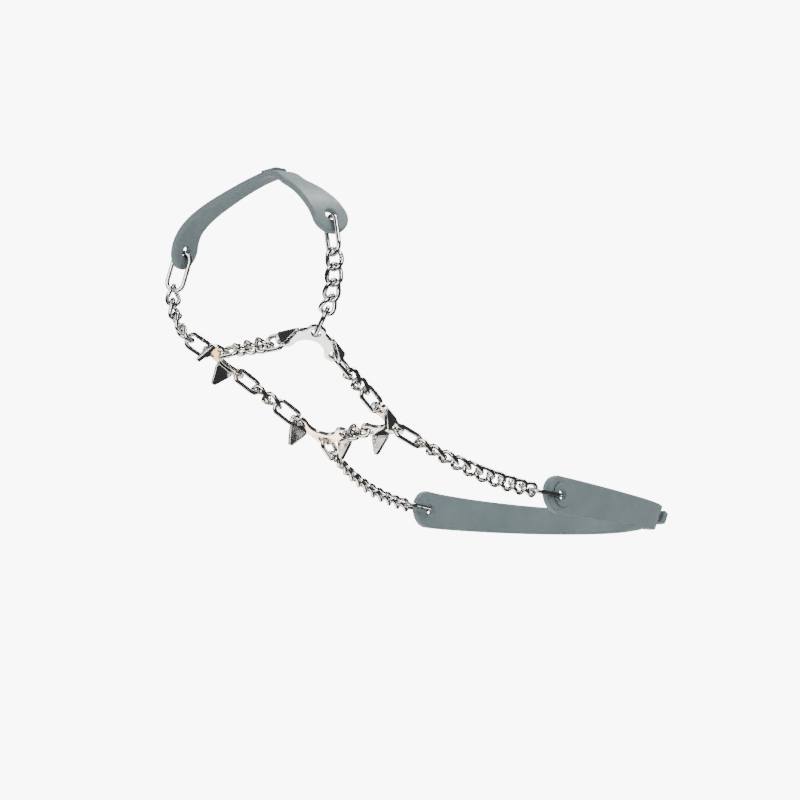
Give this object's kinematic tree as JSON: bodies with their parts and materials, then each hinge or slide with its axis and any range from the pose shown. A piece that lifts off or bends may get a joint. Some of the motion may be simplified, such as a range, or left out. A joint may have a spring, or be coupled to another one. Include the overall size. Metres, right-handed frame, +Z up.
{
  "type": "shoe ice cleats",
  "caption": "Slip-on winter traction harness: spiked steel plates under the forefoot, joined by link chains to a rubber toe strap and a rubber heel strap.",
  "frame": {"origin": "under the middle of the foot, on the plane of the sole that the rear plates bear on", "axes": "+X to the shoe's toe, +Y to the wearer's left, +Z up through the shoe"},
  "size_m": [0.288, 0.105, 0.0914],
  "materials": {
    "plate_steel": "polished stainless sheet",
    "link_steel": "polished stainless wire",
    "strap_rubber": "matte grey-green moulded rubber"
  },
  "bodies": {
    "rear_plates": {"spike_plate_rear_left": "plate_steel", "spike_plate_rear_right": "plate_steel"},
    "side_chain_row_1": {"side_chain_left_1": "link_steel", "side_chain_right_1": "link_steel"},
    "side_chain_row_2": {"side_chain_left_2": "link_steel", "side_chain_right_2": "link_steel"},
    "side_chain_row_3": {"side_chain_left_3": "link_steel", "side_chain_right_3": "link_steel"},
    "side_chain_row_4": {"side_chain_left_4": "link_steel", "side_chain_right_4": "link_steel"},
    "front_plates": {"spike_plate_front_left": "plate_steel", "spike_plate_front_right": "plate_steel"},
    "toe_riser_row_1": {"toe_riser_left_1": "link_steel", "toe_riser_right_1": "link_steel"},
    "toe_riser_row_2": {"toe_riser_left_2": "link_steel", "toe_riser_right_2": "link_steel"},
    "toe_riser_row_3": {"toe_riser_left_3": "link_steel", "toe_riser_right_3": "link_steel"},
    "toe_riser_row_4": {"toe_riser_left_4": "link_steel", "toe_riser_right_4": "link_steel"},
    "toe_riser_row_5": {"toe_riser_left_5": "link_steel", "toe_riser_right_5": "link_steel"},
    "toe_riser_row_6": {"toe_riser_left_6": "link_steel", "toe_riser_right_6": "link_steel"},
    "toe_strap": {"toe_strap": "strap_rubber"},
    "heel_chain_row_1": {"heel_chain_left_1": "link_steel", "heel_chain_right_1": "link_steel"},
    "heel_chain_row_2": {"heel_chain_left_2": "link_steel", "heel_chain_right_2": "link_steel"},
    "heel_chain_row_3": {"heel_chain_left_3": "link_steel", "heel_chain_right_3": "link_steel"},
    "heel_chain_row_4": {"heel_chain_left_4": "link_steel", "heel_chain_right_4": "link_steel"},
    "heel_chain_row_5": {"heel_chain_left_5": "link_steel", "heel_chain_right_5": "link_steel"},
    "heel_chain_row_6": {"heel_chain_left_6": "link_steel", "heel_chain_right_6": "link_steel"},
    "heel_chain_row_7": {"heel_chain_left_7": "link_steel", "heel_chain_right_7": "link_steel"},
    "heel_chain_row_8": {"heel_chain_left_8": "link_steel", "heel_chain_right_8": "link_steel"},
    "heel_chain_row_9": {"heel_chain_left_9": "link_steel", "heel_chain_right_9": "link_steel"},
    "heel_chain_row_10": {"heel_chain_left_10": "link_steel", "heel_chain_right_10": "link_steel"},
    "heel_chain_row_11": {"heel_chain_left_11": "link_steel", "heel_chain_right_11": "link_steel"},
    "heel_chain_row_12": {"heel_chain_left_12": "link_steel", "heel_chain_right_12": "link_steel"},
    "heel_strap": {"heel_strap": "strap_rubber"},
    "front_cross_link_1": {"front_cross_1": "link_steel"},
    "front_cross_link_2": {"front_cross_2": "link_steel"},
    "front_cross_link_3": {"front_cross_3": "link_steel"},
    "front_cross_link_4": {"front_cross_4": "link_steel"},
    "front_cross_link_5": {"front_cross_5": "link_steel"},
    "rear_cross_link_1": {"rear_cross_1": "link_steel"},
    "rear_cross_link_2": {"rear_cross_2": "link_steel"}
  },
  "joints": [
    {"name": "side_chain_hinge_1", "type": "hinge", "parent": "rear_plates", "child": "side_chain_row_1", "pos_m": [-0.0169, 0, -0.00094], "axis": [0, 1, 0], "range_deg": [-4, 4]},
    {"name": "side_chain_hinge_2", "type": "hinge", "parent": "side_chain_row_1", "child": "side_chain_row_2", "pos_m": [-0.00623, 0, -0.00067], "axis": [0, 1, 0], "range_deg": [-4, 4]},
    {"name": "side_chain_hinge_3", "type": "hinge", "parent": "side_chain_row_2", "child": "side_chain_row_3", "pos_m": [0, 0, -0.00052], "axis": [0, 1, 0], "range_deg": [-4, 4]},
    {"name": "side_chain_hinge_4", "type": "hinge", "parent": "side_chain_row_3", "child": "side_chain_row_4", "pos_m": [0.00623, 0, -0.00037], "axis": [0, 1, 0], "range_deg": [-4, 4]},
    {"name": "front_plates_hinge", "type": "hinge", "parent": "side_chain_row_4", "child": "front_plates", "pos_m": [0.0169, 0, -0.0001], "axis": [0, 1, 0], "range_deg": [-6, 6]},
    {"name": "toe_riser_hinge_1", "type": "hinge", "parent": "front_plates", "child": "toe_riser_row_1", "pos_m": [0.03302, 0, 0.00085], "axis": [0, 1, 0], "range_deg": [-8, 8]},
    {"name": "toe_riser_hinge_2", "type": "hinge", "parent": "toe_riser_row_1", "child": "toe_riser_row_2", "pos_m": [0.03867, 0, 0.00467], "axis": [0, 1, 0], "range_deg": [-8, 8]},
    {"name": "toe_riser_hinge_3", "type": "hinge", "parent": "toe_riser_row_2", "child": "toe_riser_row_3", "pos_m": [0.04222, 0, 0.00815], "axis": [0, 1, 0], "range_deg": [-8, 8]},
    {"name": "toe_riser_hinge_4", "type": "hinge", "parent": "toe_riser_row_3", "child": "toe_riser_row_4", "pos_m": [0.04577, 0, 0.01264], "axis": [0, 1, 0], "range_deg": [-8, 8]},
    {"name": "toe_riser_hinge_5", "type": "hinge", "parent": "toe_riser_row_4", "child": "toe_riser_row_5", "pos_m": [0.0491, 0, 0.01784], "axis": [0, 1, 0], "range_deg": [-8, 8]},
    {"name": "toe_riser_hinge_6", "type": "hinge", "parent": "toe_riser_row_5", "child": "toe_riser_row_6", "pos_m": [0.052, 0, 0.02343], "axis": [0, 1, 0], "range_deg": [-8, 8]},
    {"name": "toe_strap_hinge", "type": "hinge", "parent": "toe_riser_row_6", "child": "toe_strap", "pos_m": [0.05729, 0, 0.0365], "axis": [0, 1, 0], "range_deg": [-4, 12]},
    {"name": "heel_chain_hinge_1", "type": "hinge", "parent": "rear_plates", "child": "heel_chain_row_1", "pos_m": [-0.03356, 0, -0.00091], "axis": [0, 1, 0], "range_deg": [-6, 6]},
    {"name": "heel_chain_hinge_2", "type": "hinge", "parent": "heel_chain_row_1", "child": "heel_chain_row_2", "pos_m": [-0.04376, 0, -0.00086], "axis": [0, 1, 0], "range_deg": [-6, 6]},
    {"name": "heel_chain_hinge_3", "type": "hinge", "parent": "heel_chain_row_2", "child": "heel_chain_row_3", "pos_m": [-0.04976, 0, -0.00059], "axis": [0, 1, 0], "range_deg": [-6, 6]},
    {"name": "heel_chain_hinge_4", "type": "hinge", "parent": "heel_chain_row_3", "child": "heel_chain_row_4", "pos_m": [-0.05577, 0, -0.00007], "axis": [0, 1, 0], "range_deg": [-6, 6]},
    {"name": "heel_chain_hinge_5", "type": "hinge", "parent": "heel_chain_row_4", "child": "heel_chain_row_5", "pos_m": [-0.0618, 0, 0.0007], "axis": [0, 1, 0], "range_deg": [-6, 6]},
    {"name": "heel_chain_hinge_6", "type": "hinge", "parent": "heel_chain_row_5", "child": "heel_chain_row_6", "pos_m": [-0.06783, 0, 0.00171], "axis": [0, 1, 0], "range_deg": [-6, 6]},
    {"name": "heel_chain_hinge_7", "type": "hinge", "parent": "heel_chain_row_6", "child": "heel_chain_row_7", "pos_m": [-0.07385, 0, 0.00296], "axis": [0, 1, 0], "range_deg": [-6, 6]},
    {"name": "heel_chain_hinge_8", "type": "hinge", "parent": "heel_chain_row_7", "child": "heel_chain_row_8", "pos_m": [-0.07985, 0, 0.00445], "axis": [0, 1, 0], "range_deg": [-6, 6]},
    {"name": "heel_chain_hinge_9", "type": "hinge", "parent": "heel_chain_row_8", "child": "heel_chain_row_9", "pos_m": [-0.08581, 0, 0.00618], "axis": [0, 1, 0], "range_deg": [-6, 6]},
    {"name": "heel_chain_hinge_10", "type": "hinge", "parent": "heel_chain_row_9", "child": "heel_chain_row_10", "pos_m": [-0.09173, 0, 0.00814], "axis": [0, 1, 0], "range_deg": [-6, 6]},
    {"name": "heel_chain_hinge_11", "type": "hinge", "parent": "heel_chain_row_10", "child": "heel_chain_row_11", "pos_m": [-0.09758, 0, 0.01033], "axis": [0, 1, 0], "range_deg": [-6, 6]},
    {"name": "heel_chain_hinge_12", "type": "hinge", "parent": "heel_chain_row_11", "child": "heel_chain_row_12", "pos_m": [-0.10336, 0, 0.01274], "axis": [0, 1, 0], "range_deg": [-6, 6]},
    {"name": "heel_strap_hinge", "type": "hinge", "parent": "heel_chain_row_12", "child": "heel_strap", "pos_m": [-0.11667, 0, 0.01889], "axis": [0, 1, 0], "range_deg": [-10, 3]},
    {"name": "front_cross_twist_1", "type": "hinge", "parent": "front_plates", "child": "front_cross_link_1", "pos_m": [0.03584, 0, -0.0042], "axis": [0, 1, 0], "range_deg": [-5, 5]},
    {"name": "front_cross_twist_2", "type": "hinge", "parent": "front_plates", "child": "front_cross_link_2", "pos_m": [0.03584, 0, -0.0042], "axis": [0, 1, 0], "range_deg": [-5, 5]},
    {"name": "front_cross_twist_3", "type": "hinge", "parent": "front_plates", "child": "front_cross_link_3", "pos_m": [0.03584, 0, -0.0042], "axis": [0, 1, 0], "range_deg": [-5, 5]},
    {"name": "front_cross_twist_4", "type": "hinge", "parent": "front_plates", "child": "front_cross_link_4", "pos_m": [0.03584, 0, -0.0042], "axis": [0, 1, 0], "range_deg": [-5, 5]},
    {"name": "front_cross_twist_5", "type": "hinge", "parent": "front_plates", "child": "front_cross_link_5", "pos_m": [0.03584, 0, -0.0042], "axis": [0, 1, 0], "range_deg": [-5, 5]},
    {"name": "rear_cross_twist_1", "type": "hinge", "parent": "rear_plates", "child": "rear_cross_link_1", "pos_m": [-0.03091, 0, -0.0009], "axis": [0, 1, 0], "range_deg": [-5, 5]},
    {"name": "rear_cross_twist_2", "type": "hinge", "parent": "rear_plates", "child": "rear_cross_link_2", "pos_m": [-0.03091, 0, -0.0009], "axis": [0, 1, 0], "range_deg": [-5, 5]}
  ]
}
